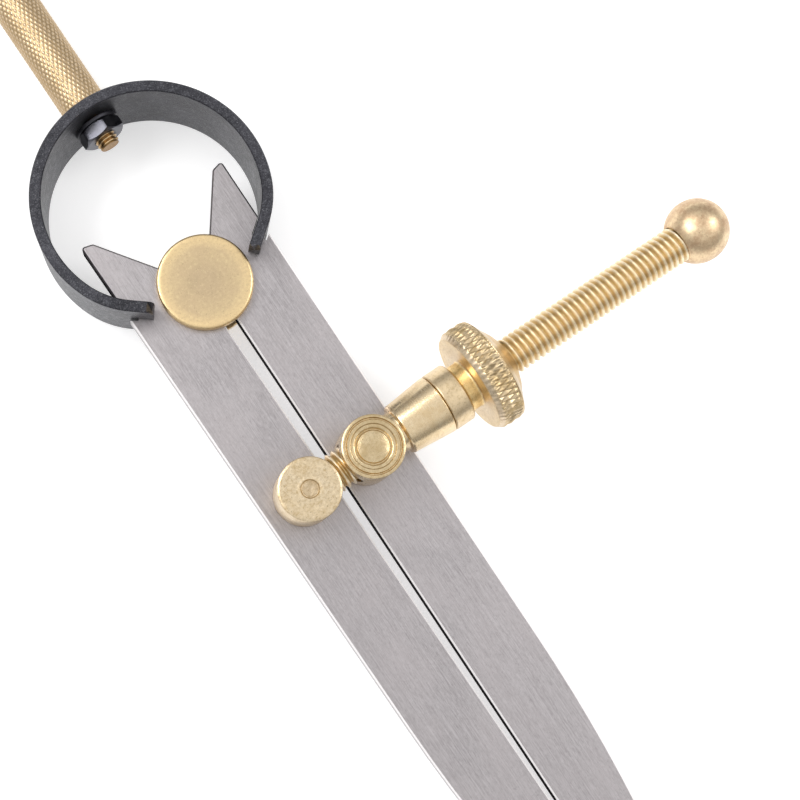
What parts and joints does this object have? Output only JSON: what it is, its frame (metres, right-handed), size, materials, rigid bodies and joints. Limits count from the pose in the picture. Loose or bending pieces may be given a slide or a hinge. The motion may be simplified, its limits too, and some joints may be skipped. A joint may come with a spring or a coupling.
{
  "type": "drawing compass",
  "caption": "Spring-bow wing divider for scribing arcs: flat steel legs on a flanged brass fulcrum, a black bow spring, and a brass screw and knurled nut.",
  "frame": {"origin": "On the fulcrum axis, in the plane of the rearmost faces, where the fulcrum's peened rear end rests when the divider lies flat.", "axes": "+X along the adjusting screw towards its ball, +Y from the points towards the handle, +Z towards the front face."},
  "size_m": [0.0886, 0.2057, 0.0225],
  "materials": {
    "leg_steel": "satin, brushed lengthwise",
    "black_spring_steel": "black oxide, satin",
    "satin_brass": "satin turned brass",
    "turned_brass": "turned brass, fairly bright",
    "threaded_brass": "threaded brass, fairly bright",
    "knurled_brass": "knurled brass, satin",
    "black_nut": "black plated, bright edges",
    "black_washer": "black, satin",
    "steel_small_parts": "bright zinc plate"
  },
  "bodies": {
    "bow": {"bow_spring": "black_spring_steel", "handle_grip": "knurled_brass", "handle_stud": "threaded_brass", "handle_washer": "black_washer", "handle_nut": "black_nut"},
    "fulcrum": {"fulcrum_hub": "satin_brass", "fulcrum_rear_flange": "satin_brass"},
    "left_leg": {"left_leg": "leg_steel"},
    "right_leg": {"right_leg": "leg_steel"},
    "left_stud": {"left_stud": "satin_brass", "grub_screw": "satin_brass", "left_stud_washer": "steel_small_parts", "left_stud_clip": "steel_small_parts", "adjusting_screw": "threaded_brass", "screw_ball": "satin_brass"},
    "right_stud": {"right_stud": "satin_brass", "right_stud_washer": "steel_small_parts", "right_stud_clip": "steel_small_parts", "thrust_sleeve": "turned_brass"},
    "adjusting_nut": {"adjusting_nut": "knurled_brass"}
  },
  "joints": [
    {"name": "left_leg_hinge", "type": "hinge", "parent": "bow", "child": "left_leg", "pos_m": [0, 0, 0.00675], "axis": [0, 0, -1], "range_deg": [0, 25], "deforming": ["bow_spring"]},
    {"name": "right_leg_hinge", "type": "hinge", "parent": "bow", "child": "right_leg", "pos_m": [0, 0, 0.00675], "axis": [0, 0, 1], "range_deg": [0, 25], "deforming": ["bow_spring"]},
    {"name": "fulcrum_roll", "type": "hinge", "parent": "bow", "child": "fulcrum", "pos_m": [0, 0, 0.00675], "axis": [0, 0, 1], "continuous": true},
    {"name": "left_stud_swivel", "type": "hinge", "parent": "left_leg", "child": "left_stud", "pos_m": [-0.00546, -0.0345, 0.00675], "axis": [0, 0, 1], "range_deg": [0, 25]},
    {"name": "right_stud_swivel", "type": "hinge", "parent": "right_leg", "child": "right_stud", "pos_m": [0.00546, -0.0345, 0.00675], "axis": [0, 0, -1], "range_deg": [0, 25]},
    {"name": "adjusting_nut_turn", "type": "hinge", "parent": "right_stud", "child": "adjusting_nut", "pos_m": [0.0178, -0.0345, 0.01415], "axis": [1, 0, 0], "continuous": true}
  ],
  "couplings": [
    {"joint": "right_leg_hinge", "follows": "left_leg_hinge", "ratio": 1},
    {"joint": "left_stud_swivel", "follows": "left_leg_hinge", "ratio": 1},
    {"joint": "right_stud_swivel", "follows": "left_leg_hinge", "ratio": 1},
    {"joint": "adjusting_nut_turn", "follows": "left_leg_hinge", "ratio": 405.2}
  ]
}
